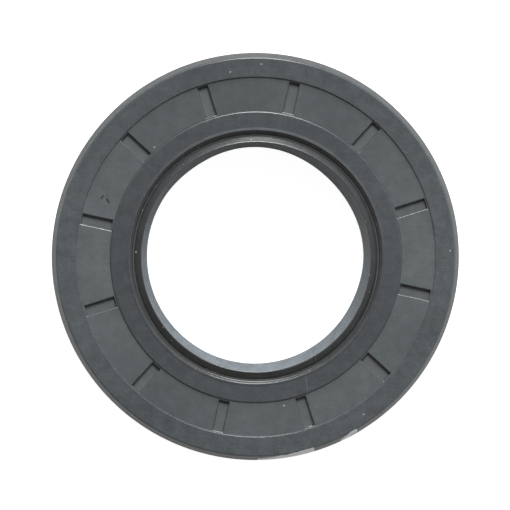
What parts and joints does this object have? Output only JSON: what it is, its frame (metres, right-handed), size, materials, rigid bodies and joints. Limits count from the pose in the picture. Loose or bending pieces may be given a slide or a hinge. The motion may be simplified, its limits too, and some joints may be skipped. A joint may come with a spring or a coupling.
{
  "type": "radial shaft seal",
  "caption": "Rubber-covered radial shaft seal with a steel ring inside, a spring-loaded main lip, a dust lip and a slotted band round its air side.",
  "frame": {"origin": "centre of the oil-side rim face, at the bottom of the seal", "axes": "+Z along the shaft axis from the oil side to the air side, +X through the middle of one slot"},
  "size_m": [0.0754, 0.0754, 0.012],
  "materials": {
    "rubber": "matt moulded nitrile rubber, dark grey",
    "case_steel": "phosphated and primed sheet steel, dull grey",
    "spring_steel": "drawn spring wire, lightly oiled"
  },
  "bodies": {
    "root": {"rubber_body": "rubber", "steel_case": "case_steel", "garter_spring": "spring_steel"}
  },
  "joints": []
}
